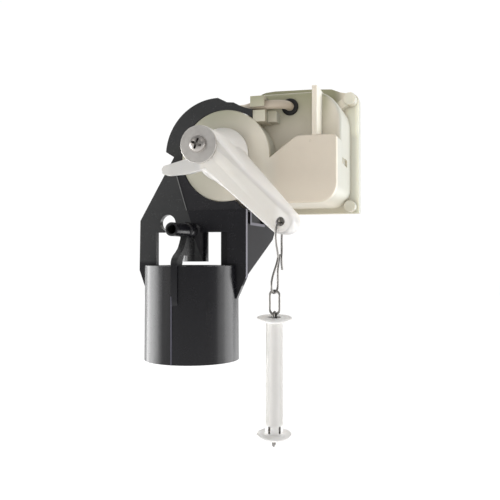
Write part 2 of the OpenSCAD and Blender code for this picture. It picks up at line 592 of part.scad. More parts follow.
module lever_screw() {
  color(STEEL) difference() {
    union() {
      ycyl(AX, AZ, -35.3, -24, 1.95);
      yrev(AX, AZ) polygon([[0, -35.2], [3.5, -35.2], [3.5, -36.2], [3.1, -36.9], [2.2, -37.4], [0, -37.6]]);
    }
    for (a = [0, 90]) translate([AX, -37.2, AZ]) rotate([0, a + 22, 0]) cube([4.6, 2.4, 0.95], center = true);
  }
}

// ---- chain ---------------------------------------------------------------------
// oval link whose top wire centre is at z, flat to the viewer or edge on
module link(z, edge, l = link_l) {
  rc = (link_w - wire_d) / 2;
  sl = l - link_w;
  translate([cx, cy, z - rc]) rotate([0, 0, edge ? 90 : 0]) rotate([90, 0, 0]) {
    rotate_extrude(angle = 180, $fn = 48) translate([rc, 0]) circle(r = wr, $fn = 16);
    translate([0, -sl, 0]) rotate([0, 0, 180]) rotate_extrude(angle = 180, $fn = 48) translate([rc, 0]) circle(r = wr, $fn = 16);
    for (s = [-1, 1]) translate([s * rc, -sl, 0]) rotate([-90, 0, 0]) cylinder(h = sl, r = wr, $fn = 16);
  }
}
module upper_link() { color(STEEL) link(link_top, false); }
module hanging() { translate([cx, cy, hang_z]) rotate(a = hang_a, v = [0.957, 0.289, 0]) translate([-cx, -cy, -hang_z]) children(); }
module chain_links() { color(STEEL) hanging() for (k = [1:7]) link(link_top - link_pitch - (k - 1) * (small_l - 2 * wire_d - 0.02), k % 2 == 1, small_l); }
// clip wire: [across, height, sideways] in the clip's own plane
clip_u = [-0.3, -0.954];
clip_pts = [[-3.5, 42.4, -0.55], [-2.4, 44.8, -0.55], [-1.6, 47, -0.55], [-1.6, 49.6, -0.4], [-1.9, 53, -0.1], [-2.25, 56.6, 0], [-2.35, 58.8, 0], [-2.1, 60, 0],
  [-1.2, 61, 0], [0.2, 61.2, 0], [1.45, 61.05, 0], [2.25, 60.3, 0], [2.55, 59, 0], [2.5, 55.8, 0], [2.1, 52.8, 0], [1, 50, 0], [0.1, 47.6, 0.1],
  [0.1, 45.2, 0.2], [1, 42.4, 0.2], [2, 39.6, 0.1], [2.5, 36.8, 0], [2.2, 34.7, 0], [1.2, 33.4, 0], [0, 33.13, 0], [-1.2, 33.4, 0], [-2.2, 34.8, 0],
  [-2.3, 37.4, 0.1], [-1.9, 40.4, 0.3], [-1.6, 43.4, 0.5], [-1.5, 46.4, 0.55], [-1.5, 48.6, 0.5]];
function lean(z) = let (q = min(1, max(0, (z - 34) / 18))) 1.9 * q * q * (3 - 2 * q) + 0.6 * max(0, (z - 57) / 4);
function drift(z) = let (q = min(1, max(0, (z - 34) / 21))) q * q * (3 - 2 * q);
function clip_w(p) = [cx - 0.6 * drift(p[1]) + lean(p[1]) + p[0] * clip_u[0] + p[2] * clip_u[1], cy + 2 * drift(p[1]) + p[0] * clip_u[1] - p[2] * clip_u[0], p[1]];
module spring_clip() { color(STEEL) sweep([for (p = smooth(clip_pts, 2)) clip_w(p)], wr, 10, [1, 0, 0]); }

module guard_tube() {
  color([0.93, 0.93, 0.92, 0.8]) hanging() difference() {
    translate([cx, cy, 0]) union() {
      rotate_extrude($fn = 72) polygon([[0, 23.5], [flange_r - 0.4, 23.5], [flange_r, 23.1], [flange_r, 22.6], [flange_r - 0.3, 22.3], [tube_r + 0.5, 22.3], [tube_r - 0.1, 21.6],
        [tube_r + 0.2, -23.8], [tube_r + 0.7, -24.3], [flange_r - 0.3, -24.3], [flange_r, -24.6], [flange_r, -25.1], [flange_r - 0.4, -25.5], [0, -25.5]]);
    }
    translate([cx, cy, -23]) cylinder(h = 50, r = 2.6, $fn = 48);
    // the sides of the last link pass through the closed bottom
    for (s = [-1, 1]) translate([cx, cy + s * (link_w - wire_d) / 2, -26.7]) cylinder(h = 4, r = wr + 0.04, $fn = 16);
    // two slits above the lower flange
    for (s = [-1, 1]) translate([cx, cy, -23.2]) rotate([0, 0, 16.8]) translate([s * 2.1 - 0.35, -4.4, 0]) cube([0.7, 3.2, 2.3]);
  }
}

// ---- cable ---------------------------------------------------------------------
module cable_grommet() {
  color(BLACK) difference() {
    yrev(gx, gz) polygon([[0, 10.4], [3.4, 10.4], [3.95, 10.9], [3.95, 12], [2.9, 12], [2.9, 14], [3.9, 14], [3.9, 15.2], [0, 15.2]]);
    ycyl(gx, gz, 10, 16, cable_d / 2);
  }
}
module inner_lead() {
  color([0.82, 0.8, 0.74]) {
    ycyl(gx, gz, 10.4, 19, cable_d / 2);
    sweep([[43.6, 18.5, 117.7], [43.5, 22, 118], [43.3, 27, 118.4], [42.4, 31, 118.4], [40, 33, 116.8], [36, 33, 113.4], [31.4, 32.2, 110], [29.4, 32.6, 108.4], [29, 34, 107.9]], 0.7, 8);
    sweep([[45.4, 18.5, 117.7], [45.4, 22, 118], [45.3, 27, 118.5], [44.8, 31, 119.1], [42.2, 33.6, 118.9], [37, 35, 116.4], [32.4, 34.4, 113.4], [27.4, 32.3, 108.6], [25.4, 32.6, 107], [25, 34, 106.6]], 0.7, 8);
  }
}
module cable_lead() { color([0.8, 0.78, 0.72]) sweep(lead_pts, cable_d / 2, 10); }
module cable_coil() {
  color([0.8, 0.78, 0.72]) translate([coil_c[0], 0, coil_c[1]]) rotate([-90, 0, 0]) rotate_extrude($fn = 96)
    translate([coil_in - cable_d / 2, coil_y0]) offset(r = 1.9, $fn = 24) offset(delta = -1.9) square([coil_mid - coil_in + cable_d, coil_y1 - coil_y0]);
}
module cable_tail() { color([0.8, 0.78, 0.72]) sweep(tail_pts, cable_d / 2, 10, [0, 1, 0]); }
module cable_plug() {
  color(WHITE) difference() {
    union() {
      translate([33.2, 56.9, 83.6]) cube([7.6, 6.2, 10.6]);
      translate([34, 57.6, 94.1]) cube([6, 4.8, 2.6]);
      translate([37, 60, 96.6]) cylinder(h = 2, r = 2.3);
      translate([36, 63, 86]) cube([2, 0.9, 7]);
    }
    for (x = [34.4, 37.6]) translate([x, 58.6, 83]) cube([2, 2.8, 8]);
  }
}
module plug_contacts() { color([0.8, 0.65, 0.3]) for (x = [34.6, 37.8]) translate([x, 58.8, 84.6]) cube([1.6, 2.4, 6.4]); }
module cable_tie() {
  color([0.1, 0.1, 0.1]) {
    translate([0, 0, 99.8]) linear_extrude(2.4) difference() {
      translate([54.6, 49.1]) offset(r = 1.4) offset(delta = -1.4) square([10.8, 21.8]);
      translate([55.6, 50.3]) offset(r = 0.6) offset(delta = -0.6) square([8.8, 19.4]);
    }
    translate([58.4, 70.2, 98.9]) cube([4.4, 2.6, 4.2]);
  }
}

bracket();
case_front();
case_back();
case_gasket();
case_screws();
bracket_screws();
gear_plate();
plate_screws();
motor_can();
motor_magnets();
motor_end_cap();
motor_terminals();
motor_screws();
motor_shaft();
motor_pinion();
first_gear();
first_axle();
second_gear();
second_axle();
output_gear();
output_shaft();
front_bush();
rear_bush();
shaft_seal();
position_magnet();
circuit_board();
board_parts();
board_screws();
lever();
lever_washer();
lever_screw();
spring_clip();
upper_link();
chain_links();
guard_tube();
cable_grommet();
inner_lead();
cable_lead();
cable_coil();
cable_tail();
cable_plug();
plug_contacts();
cable_tie();
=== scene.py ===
import bpy
import json
import math
from mathutils import Matrix, Vector


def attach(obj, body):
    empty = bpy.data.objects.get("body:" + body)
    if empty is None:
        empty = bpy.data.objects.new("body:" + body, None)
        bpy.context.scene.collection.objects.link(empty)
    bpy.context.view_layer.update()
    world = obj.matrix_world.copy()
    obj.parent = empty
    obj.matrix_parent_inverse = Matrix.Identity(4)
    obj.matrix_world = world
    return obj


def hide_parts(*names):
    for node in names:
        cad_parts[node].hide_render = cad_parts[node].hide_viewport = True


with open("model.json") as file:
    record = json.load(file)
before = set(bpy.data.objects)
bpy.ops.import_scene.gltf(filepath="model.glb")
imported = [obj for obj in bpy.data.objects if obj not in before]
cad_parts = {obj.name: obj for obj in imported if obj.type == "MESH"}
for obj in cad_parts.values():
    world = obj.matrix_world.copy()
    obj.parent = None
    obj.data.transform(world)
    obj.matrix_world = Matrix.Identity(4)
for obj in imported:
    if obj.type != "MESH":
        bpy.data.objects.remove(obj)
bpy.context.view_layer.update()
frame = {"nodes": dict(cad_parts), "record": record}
N = frame["nodes"]
scene = bpy.context.scene
MM = 0.001


def mm(p):
    return Vector(p) * MM


# ---------------------------------------------------------------- camera
cam_data = bpy.data.cameras.new("camera")
cam = bpy.data.objects.new("camera", cam_data)
scene.collection.objects.link(cam)
cam_data.sensor_width = 36.0
cam_data.lens = 48.96
cam_data.clip_start = 0.01
cam.location = (0.118177, -0.297341, 0.047915)
cam.rotation_euler = (math.radians(90.505), 0.0, math.radians(16.8))
scene.camera = cam
scene.view_settings.view_transform = "Standard"


# ---------------------------------------------------------------- materials
def new_mat(name):
    m = bpy.data.materials.new(name)
    m.use_nodes = True
    nt = m.node_tree
    bsdf = nt.nodes["Principled BSDF"]
    return m, nt, bsdf


def noise(nt, coord, scale, detail=4.0, rough=0.55, stretch=None):
    n = nt.nodes.new("ShaderNodeTexNoise")
    n.inputs["Scale"].default_value = scale
    n.inputs["Detail"].default_value = detail
    n.inputs["Roughness"].default_value = rough
    if stretch:
        mp = nt.nodes.new("ShaderNodeMapping")
        mp.inputs["Scale"].default_value = stretch
        nt.links.new(coord, mp.inputs["Vector"])
        coord = mp.outputs["Vector"]
    nt.links.new(coord, n.inputs["Vector"])
    return n.outputs["Fac"]


def ramp(nt, fac, stops):
    r = nt.nodes.new("ShaderNodeValToRGB")
    el = r.color_ramp.elements
    while len(el) > 1:
        el.remove(el[-1])
    el[0].position, el[0].color = stops[0][0], (*stops[0][1], 1)
    for p, c in stops[1:]:
        e = el.new(p)
        e.color = (*c, 1)
    nt.links.new(fac, r.inputs["Fac"])
    return r.outputs["Color"]


def to_range(nt, fac, lo, hi):
    r = nt.nodes.new("ShaderNodeMapRange")
    r.inputs["To Min"].default_value = lo
    r.inputs["To Max"].default_value = hi
    r.inputs["From Min"].default_value = 0.3
    r.inputs["From Max"].default_value = 0.7
    nt.links.new(fac, r.inputs["Value"])
    return r.outputs["Result"]


def shade(c, k):
    return tuple(max(0.0, min(1.0, v * k)) for v in c)


def along(nt, vec, direction, lo, hi):
    """0 to 1 as a vector's share along a direction goes from lo to hi."""
    d = nt.nodes.new("ShaderNodeVectorMath")
    d.operation = "DOT_PRODUCT"
    nt.links.new(vec, d.inputs[0])
    d.inputs[1].default_value = direction
    r = nt.nodes.new("ShaderNodeMapRange")
    r.interpolation_type = "SMOOTHSTEP"
    r.inputs["From Min"].default_value = lo
    r.inputs["From Max"].default_value = hi
    nt.links.new(d.outputs["Value"], r.inputs["Value"])
    return r.outputs["Result"]


def calc(nt, op, a, b):
    m = nt.nodes.new("ShaderNodeMath")
    m.operation = op
    for i, v in enumerate((a, b)):
        if isinstance(v, (int, float)):
            m.inputs[i].default_value = v
        else:
            nt.links.new(v, m.inputs[i])
    return m.outputs[0]


def tinted(nt, col, mask, tint):
    mx = nt.nodes.new("ShaderNodeMix")
    mx.data_type = "RGBA"
    mx.blend_type = "MULTIPLY"
    nt.links.new(mask, mx.inputs["Factor"])
    nt.links.new(col, mx.inputs["A"])
    mx.inputs["B"].default_value = (*tint, 1)
    return mx.outputs["Result"]


def both(nt, *masks):
    m = masks[0]
    for k in masks[1:]:
        m = calc(nt, "MULTIPLY", m, k)
    return m


def between(nt, vec, axis, lo, hi, soft=0.0002):
    """1 where a coordinate lies between two values."""
    d = tuple(1.0 if i == axis else 0.0 for i in range(3))
    n = tuple(-v for v in d)
    return calc(nt, "MULTIPLY", along(nt, vec, d, lo - soft, lo + soft), along(nt, vec, n, -hi - soft, -hi + soft))


def bracket_tone_and_painted_light(nt, co, nrm, col):
    """The left of the plate and the hood are painted lighter than the bluish black of the rest; the raised cradle,
    the front of the plate and the gusset face carry painted light, and the cut edge of the plate, the bead, the
    parting ridge and the rims of the pockets carry painted highlights.
    """
    # painted light: the left of the plate and the hood keep the lighter base, the rest is painted darker in its
    # bluish black
    left = calc(nt, "MULTIPLY", along(nt, co, (-0.955, 0, -0.297), -0.01895, -0.01855), along(nt, co, (0, 0, 1), 0.044, 0.046))
    hood = along(nt, co, (-0.35, 0, 0.94), 0.086, 0.100)
    plain = calc(nt, "SUBTRACT", 1.0, calc(nt, "MAXIMUM", left, hood))
    col = tinted(nt, col, plain, (0.24, 0.23, 0.29))
    # painted light on the raised cradle
    cradle = both(nt, plain, along(nt, nrm, (0, -1, 0), 0.5, 0.9), along(nt, co, (0, 0, 1), 0.0690, 0.0696), along(nt, co, (0, -1, 0), 0.0, 0.001))
    col = tinted(nt, col, cradle, (1.95, 1.95, 1.7))
    # painted light on the front of the plate
    plate = both(nt, along(nt, nrm, (0, -1, 0), 0.5, 0.9), between(nt, co, 1, -0.0022, 0.0), between(nt, co, 2, 0.0445, 0.130))
    col = tinted(nt, col, plate, (1.22, 1.22, 1.22))
    # painted highlight along the bead
    bead = both(nt, between(nt, co, 2, 0.0690, 0.0858), along(nt, co, (0, -1, 0), 0.00155, 0.00175),
                along(nt, co, (-0.955, 0, -0.297), -0.01905, -0.01890), along(nt, co, (0.955, 0, 0.297), 0.01835, 0.01845))
    col = tinted(nt, col, bead, (4.5, 4.5, 4.4))
    # painted highlight along the parting ridge of the sleeve
    ridge = both(nt, between(nt, co, 2, -0.001, 0.0302), between(nt, co, 0, -0.00150, -0.00060), along(nt, co, (0, -1, 0), 0.0219, 0.0221))
    col = tinted(nt, col, ridge, (11, 11, 11))
    # painted light on the gusset face; painted highlights on the cut edge of the plate and on the rims of the
    # pockets
    outer = both(nt, along(nt, nrm, (1, 0, 0), 0.5, 0.9), along(nt, co, (1, 0, 0), 0.0262, 0.0266))
    edge = both(nt, outer, between(nt, co, 1, -0.0011, 0.0014), between(nt, co, 2, 0.037, 0.0695))
    rim = both(nt, outer, calc(nt, "MAXIMUM",
               both(nt, between(nt, co, 1, 0.0059, 0.0082), between(nt, co, 2, 0.0628, 0.069)),
               both(nt, between(nt, co, 1, 0.0059, 0.031), between(nt, co, 2, 0.0624, 0.0637))))
    gusset = both(nt, outer, between(nt, co, 1, 0.0017, 0.055), between(nt, co, 2, 0.036, 0.0623))
    col = tinted(nt, col, gusset, (1.6, 1.58, 1.5))
    col = tinted(nt, col, edge, (28, 28, 25))
    return tinted(nt, col, rim, (22, 22, 20))


def bracket_rough(nt, co, nrm):
    """The outer face of the gusset is eroded and duller than the rest."""
    return both(nt, along(nt, nrm, (1, 0, 0), 0.6, 0.95), along(nt, co, (1, 0, 0), 0.0245, 0.0252))


def case_tone_and_painted_light(nt, co, nrm, col):
    """Painted light and shade on the case: the front faces are painted darker and more olive at the top and at the
    left and foot of the drum; the side walls, the hook's side, the low flange and the undersides are painted
    darker; the fin, the outer strip of the flange, a top corner and the drum beside the hub are painted lighter;
    the box face has a warmer tone of its own.
    """
    front = along(nt, nrm, (0, -1, 0), 0.3, 0.8)
    # painted light: everything but the fin is painted a little darker, so the fin reads as lit
    fin = both(nt, between(nt, co, 0, 0.0572, 0.0597, 0.0001), along(nt, co, (0, 0, 1), 0.1019, 0.1022), along(nt, co, (0, -1, 0), -0.0112, -0.0108))
    col = tinted(nt, col, calc(nt, "SUBTRACT", 1.0, fin), (0.95, 0.925, 0.905))
    # the box face's own warmer tone
    box = both(nt, front, along(nt, co, (0, -1, 0), -0.004, -0.002), along(nt, co, (1, 0, 0), 0.036, 0.044))
    col = tinted(nt, col, box, (1.0, 0.955, 0.925))
    # painted shade: front faces painted darker and more olive towards the top
    inner = along(nt, co, (-1, 0, 0), -0.0655, -0.0600)
    behind = calc(nt, "MAXIMUM", along(nt, co, (0, 1, 0), 0.004, 0.008), along(nt, co, (-1, 0, 0), -0.046, -0.040))
    top = both(nt, along(nt, co, (0, 0, 1), 0.102, 0.126), inner, behind, calc(nt, "SUBTRACT", 1.0, fin))
    col = tinted(nt, col, calc(nt, "MULTIPLY", top, front), (0.51, 0.535, 0.41))
    # painted shade on the left of the drum and at its foot
    drum = along(nt, co, (-0.93, 0, 0.37), 0.006, 0.034)
    col = tinted(nt, col, calc(nt, "MULTIPLY", drum, front), (0.62, 0.64, 0.61))
    foot = both(nt, front, along(nt, co, (0, 0, -1), -0.0900, -0.0760), along(nt, co, (-1, 0, 0), -0.0340, -0.0310))
    col = tinted(nt, col, foot, (0.80, 0.80, 0.79))
    # painted shade on the side walls and on the hook's side
    side = both(nt, along(nt, nrm, (1, 0, 0), 0.2, 0.9), along(nt, co, (0, 1, 0), 0.001, 0.003), calc(nt, "SUBTRACT", 1.0, fin))
    col = tinted(nt, col, side, (0.73, 0.775, 0.80))
    hook = both(nt, along(nt, nrm, (1, 0, 0), 0.3, 0.9), between(nt, co, 0, 0.0345, 0.0362), along(nt, co, (0, 0, 1), 0.1085, 0.1090))
    col = tinted(nt, col, hook, (0.55, 0.535, 0.47))
    # the flange front at the right a little cooler; its outer strip painted lighter as painted light
    flange = both(nt, front, along(nt, co, (0, 1, 0), 0.032, 0.034), along(nt, co, (1, 0, 0), 0.066, 0.068))
    col = tinted(nt, col, flange, (0.93, 0.985, 0.99))
    verge = both(nt, front, along(nt, co, (0, 1, 0), 0.032, 0.034), along(nt, co, (1, 0, 0), 0.0698, 0.0752))
    col = tinted(nt, col, verge, (2.0, 1.97, 1.97))
    # painted light on a corner at the top right
    corner = both(nt, front, along(nt, co, (0, 1, 0), 0.020, 0.024), along(nt, co, (1, 0, 0), 0.0625, 0.0645), along(nt, co, (0, 0, 1), 0.106, 0.110))
    col = tinted(nt, col, corner, (1.22, 1.22, 1.20))
    # painted light on the drum beside the hub, lightening where the lever's shadow falls
    beside = both(nt, front, along(nt, co, (-1, 0, 0), -0.040, -0.034), along(nt, co, (1, 0, 0), 0.026, 0.031), between(nt, co, 2, 0.078, 0.106, 0.004), along(nt, co, (0, -1, 0), -0.002, 0.0))
    col = tinted(nt, col, beside, (1.14, 1.14, 1.13))
    # painted shade on the low part of the flange and on all undersides
    low = both(nt, front, along(nt, co, (0, 1, 0), 0.032, 0.034), along(nt, co, (0, 0, -1), -0.076, -0.072))
    col = tinted(nt, col, low, (0.76, 0.76, 0.70))
    under = along(nt, nrm, (0, 0, -1), 0.3, 0.9)
    return tinted(nt, col, under, (0.62, 0.60, 0.55))


def lever_painted_light_and_shade(nt, co, nrm, col):
    """Painted shade on the tab, the flat front of the arm, its lower flank, the nose and inside the chain hole;
    painted light on the left of the lever.
    """
    # painted shade on the tab
    tab = both(nt, along(nt, co, (-1, 0, 0), -0.0182, -0.0160), along(nt, co, (0, 0, -1), -0.0900, -0.0872))
    col = tinted(nt, col, tab, (0.70, 0.71, 0.715))
    # painted light on the left of the lever
    col = tinted(nt, col, along(nt, co, (-1, 0, 0), -0.0050, 0.0), (1.12, 1.12, 1.12))
    # painted shade on the flat front of the arm and, by its normal, on the lower flank
    face = both(nt, along(nt, nrm, (0, -1, 0), 0.80, 0.99), between(nt, co, 0, 0.0165, 0.0500, 0.0020), calc(nt, "SUBTRACT", 1.0, tab))
    col = tinted(nt, col, face, (0.865, 0.86, 0.835))
    flank = both(nt, along(nt, nrm, (-0.66, 0, -0.75), 0.06, 0.40), along(nt, co, (1, 0, 0), 0.0165, 0.0205))
    col = tinted(nt, col, flank, (0.70, 0.70, 0.705))
    # painted shade on the nose
    nose = both(nt, along(nt, nrm, (0.75, -0.1, -0.65), 0.30, 0.75), along(nt, co, (1, 0, 0), 0.044, 0.050))
    col = tinted(nt, col, nose, (0.68, 0.685, 0.695))
    # painted shade inside the chain hole
    hole = both(nt, between(nt, co, 0, 0.0490, 0.0535), between(nt, co, 2, 0.0595, 0.0640), along(nt, co, (0, 1, 0), -0.0337, -0.0330))
    return tinted(nt, col, hole, (0.22, 0.215, 0.20))


def crevice(nt, col, corner_shade, reach):
    """Painted shade in the inner corners and recesses, from ambient occlusion within the part."""
    ao = nt.nodes.new("ShaderNodeAmbientOcclusion")
    ao.only_local = True
    ao.samples = 8
    ao.inputs["Distance"].default_value = reach * MM
    mr = nt.nodes.new("ShaderNodeMapRange")
    mr.inputs["From Min"].default_value = 0.25
    mr.inputs["From Max"].default_value = 0.85
    nt.links.new(ao.outputs["AO"], mr.inputs["Value"])
    mx = nt.nodes.new("ShaderNodeMix")
    mx.data_type = "RGBA"
    nt.links.new(mr.outputs["Result"], mx.inputs["Factor"])
    mx.inputs["A"].default_value = (*corner_shade, 1)
    nt.links.new(col, mx.inputs["B"])
    return mx.outputs["Result"]


def plastic(name, color, rough=0.42, spread=0.06, grain=1400.0, bump=0.06, dirt=0.05, sss=0.0, radius=(0.002, 0.0016, 0.0012), spec=0.4, coat=0.0, corner_shade=None, reach=0.8, tint=None, dull=None):
    m, nt, b = new_mat(name)
    co = nt.nodes.new("ShaderNodeTexCoord").outputs["Object"]
    cloud = noise(nt, co, 55.0, 5.0, 0.6)
    b.inputs["Base Color"].default_value = (*color, 1)
    col = ramp(nt, cloud, [(0.30, shade(color, 1 - dirt)), (0.5, color), (0.72, shade(color, 1 + dirt * 0.5))])
    if tint:
        col = tint(nt, co, nt.nodes["Texture Coordinate"].outputs["Normal"], col)
    if corner_shade:
        col = crevice(nt, col, corner_shade, reach)
    nt.links.new(col, b.inputs["Base Color"])
    fine = noise(nt, co, grain, 3.0, 0.6)
    streak = noise(nt, co, 260.0, 4.0, 0.55)
    mix = nt.nodes.new("ShaderNodeMath")
    mix.operation = "ADD"
    half = nt.nodes.new("ShaderNodeMath")
    half.operation = "MULTIPLY"
    half.inputs[1].default_value = 0.5
    nt.links.new(fine, mix.inputs[0])
    nt.links.new(streak, mix.inputs[1])
    nt.links.new(mix.outputs[0], half.inputs[0])
    rg = to_range(nt, half.outputs[0], rough - spread, rough + spread)
    if dull:
        rg = calc(nt, "MAXIMUM", rg, calc(nt, "MULTIPLY", dull(nt, co, nt.nodes["Texture Coordinate"].outputs["Normal"]), 0.78))
    nt.links.new(rg, b.inputs["Roughness"])
    bp = nt.nodes.new("ShaderNodeBump")
    bp.inputs["Strength"].default_value = bump
    bp.inputs["Distance"].default_value = 0.0002
    nt.links.new(half.outputs[0], bp.inputs["Height"])
    nt.links.new(bp.outputs["Normal"], b.inputs["Normal"])
    b.inputs["Specular IOR Level"].default_value = spec
    if sss:
        b.inputs["Subsurface Weight"].default_value = sss
        b.inputs["Subsurface Radius"].default_value = (1.0, 0.8, 0.6)
        b.inputs["Subsurface Scale"].default_value = radius[0]
    if coat:
        b.inputs["Coat Weight"].default_value = coat
        b.inputs["Coat Roughness"].default_value = 0.25
    return m


def washer_tint(nt, co, col):
    """The washer under the lever's screw is brighter zinc than the screws."""
    return tinted(nt, col, between(nt, co, 1, -0.03528, -0.0339, 0.00002), (1.75, 1.78, 1.80))


def metal(name, color, rough=0.28, spread=0.08, stretch=(1, 1, 1), scale=700.0, bump=0.08, stain=0.08, aniso=0.0, corner_shade=None, reach=0.8, tint=None):
    m, nt, b = new_mat(name)
    co = nt.nodes.new("ShaderNodeTexCoord").outputs["Object"]
    b.inputs["Metallic"].default_value = 1.0
    cloud = noise(nt, co, 180.0, 5.0, 0.6)
    col = ramp(nt, cloud, [(0.28, shade(color, 1 - stain * 1.6)), (0.5, color), (0.75, shade(color, 1 + stain))])
    if corner_shade:
        col = crevice(nt, col, corner_shade, reach)
    if tint:
        col = tint(nt, co, col)
    nt.links.new(col, b.inputs["Base Color"])
    brush = noise(nt, co, scale, 4.0, 0.6, stretch)
    nt.links.new(to_range(nt, brush, rough - spread, rough + spread), b.inputs["Roughness"])
    bp = nt.nodes.new("ShaderNodeBump")
    bp.inputs["Strength"].default_value = bump
    bp.inputs["Distance"].default_value = 0.0001
    nt.links.new(brush, bp.inputs["Height"])
    nt.links.new(bp.outputs["Normal"], b.inputs["Normal"])
    if aniso:
        b.inputs["Anisotropic"].default_value = aniso
    return m


# the cream, white and steel materials darken their inner corners and recesses as painted shade
M = {
    "black_plastic": plastic("black_plastic", (0.0300, 0.0306, 0.0315), 0.26, 0.03, 1300, 0.045, 0.08, spec=0.31, tint=bracket_tone_and_painted_light, dull=bracket_rough),
    "cream_plastic": plastic("cream_plastic", (0.83, 0.80, 0.705), 0.40, 0.05, 1100, 0.05, 0.035, sss=0.08, radius=(0.0016,) * 3, corner_shade=(0.60, 0.56, 0.46), reach=2.2, tint=case_tone_and_painted_light),
    "white_plastic": plastic("white_plastic", (0.865, 0.84, 0.805), 0.36, 0.05, 1200, 0.04, 0.02, sss=0.10, radius=(0.0016,) * 3, corner_shade=(0.58, 0.56, 0.52), reach=1.6, tint=lever_painted_light_and_shade),
    "gear_plastic": plastic("gear_plastic", (0.86, 0.85, 0.79), 0.40, 0.05, 1200, 0.05, 0.03),
    "grey_rubber": plastic("grey_rubber", (0.05, 0.05, 0.052), 0.7, 0.06, 1500, 0.15, 0.1, spec=0.25),
    "black_rubber": plastic("black_rubber", (0.012, 0.012, 0.012), 0.5, 0.08, 1500, 0.12, 0.15, spec=0.4),
    "board_green": plastic("board_green", (0.02, 0.16, 0.06), 0.35, 0.05, 900, 0.06, 0.1),
    "board_black": plastic("board_black", (0.02, 0.02, 0.022), 0.45, 0.05, 1300, 0.08, 0.1),
    "cable_jacket": plastic("cable_jacket", (0.555, 0.48, 0.385), 0.46, 0.06, 900, 0.08, 0.05, sss=0.03),
    "plug_white": plastic("plug_white", (0.86, 0.85, 0.82), 0.38, 0.05, 1200, 0.05, 0.03),
    "black_nylon": plastic("black_nylon", (0.014, 0.014, 0.014), 0.36, 0.05, 1400, 0.06, 0.1),
    "ferrite": plastic("ferrite", (0.05, 0.05, 0.055), 0.55, 0.08, 1600, 0.2, 0.2),
    "steel": metal("steel", (0.38, 0.36, 0.34), 0.33, 0.06, (1, 1, 1), 900, 0.04, 0.06, corner_shade=(0.05, 0.045, 0.04), reach=1.3, tint=washer_tint),
    "motor_steel": metal("motor_steel", (0.60, 0.61, 0.63), 0.32, 0.08, (1, 8, 1), 500, 0.06),
    "chain_steel": metal("chain_steel", (0.25, 0.24, 0.23), 0.30, 0.08, (1, 1, 1), 900, 0.05, 0.16),
    "zinc_plate": metal("zinc_plate", (0.86, 0.825, 0.785), 0.40, 0.03, (1, 1, 4), 500, 0.012, 0.02),
    "brass": metal("brass", (0.78, 0.58, 0.26), 0.30, 0.08, (1, 1, 1), 900, 0.06, 0.1),
}


SLIT = 0.0370  # where the two slits of the guard tube lie, across the front


def milky():
    m, nt, b = new_mat("milky_plastic")
    co = nt.nodes.new("ShaderNodeTexCoord").outputs["Object"]
    cloud = noise(nt, co, 120.0, 4.0, 0.5)
    col = ramp(nt, cloud, [(0.3, (0.93, 0.92, 0.90)), (0.7, (0.98, 0.965, 0.945))])
    right, left = (0.957, 0.289, 0), (-0.957, -0.289, 0)
    # painted shade: the two slits are painted dark, standing in for their shaded insides
    one = calc(nt, "MULTIPLY", along(nt, co, right, SLIT - 0.00252, SLIT - 0.00242), along(nt, co, left, -SLIT + 0.00168, -SLIT + 0.00178))
    two = calc(nt, "MULTIPLY", along(nt, co, right, SLIT + 0.00168, SLIT + 0.00178), along(nt, co, left, -SLIT - 0.00252, -SLIT - 0.00242))
    slit = both(nt, calc(nt, "MAXIMUM", one, two), along(nt, co, (0.289, -0.957, 0), 0.0434, 0.0436), between(nt, co, 2, -0.0236, -0.0206, 0.0001))
    # painted light: the shaft is painted darker than the flanges, and its sides, by their normal, darker still as
    # painted shade
    shaft = between(nt, co, 2, -0.0205, 0.0215, 0.0008)
    col = tinted(nt, col, shaft, (0.83, 0.825, 0.815))
    nrm = nt.nodes.new("ShaderNodeTexCoord").outputs["Normal"]
    flank = calc(nt, "MAXIMUM", along(nt, nrm, right, 0.45, 0.9), along(nt, nrm, left, 0.45, 0.9))
    col = tinted(nt, col, calc(nt, "MULTIPLY", shaft, flank), (0.66, 0.66, 0.65))
    nt.links.new(tinted(nt, col, slit, (0.10, 0.10, 0.095)), b.inputs["Base Color"])
    nt.links.new(to_range(nt, noise(nt, co, 900.0), 0.30, 0.42), b.inputs["Roughness"])
    b.inputs["IOR"].default_value = 1.46
    b.inputs["Transmission Weight"].default_value = 0.12
    b.inputs["Specular IOR Level"].default_value = 0.28
    b.inputs["Subsurface Weight"].default_value = 0.25
    b.inputs["Subsurface Radius"].default_value = (1.0, 0.95, 0.9)
    b.inputs["Subsurface Scale"].default_value = 0.0015
    return m


M["milky_plastic"] = milky()


def wear(o, slot_name):
    """Gives a CAD node its material."""
    o.data.materials.clear()
    o.data.materials.append(M[slot_name])


slots = {s["node"]: s["material_slot"] for s in frame["record"]["subparts"]}
for name, o in N.items():
    wear(o, slots[name])


# ---------------------------------------------------------------- rounded edges on the CAD solids
def soften(name, width, segs=3, angle=32.0, planar=0.6, smooth=24.0, miter="MITER_ARC"):
    o = N[name]
    o.data.polygons.foreach_set("use_smooth", [True] * len(o.data.polygons))
    w = o.modifiers.new("weld", "WELD")
    w.merge_threshold = 2e-6
    if planar:
        d = o.modifiers.new("planar", "DECIMATE")
        d.decimate_type = "DISSOLVE"
        d.angle_limit = math.radians(planar)
    if width:
        b = o.modifiers.new("round", "BEVEL")
        b.width = width * MM
        b.segments = segs
        b.limit_method = "ANGLE"
        b.angle_limit = math.radians(angle)
        b.miter_outer = miter
        b.use_clamp_overlap = True
        b.harden_normals = False
    n = o.modifiers.new("normals", "WEIGHTED_NORMAL")
    n.keep_sharp = True
    n.weight = 80
    return o


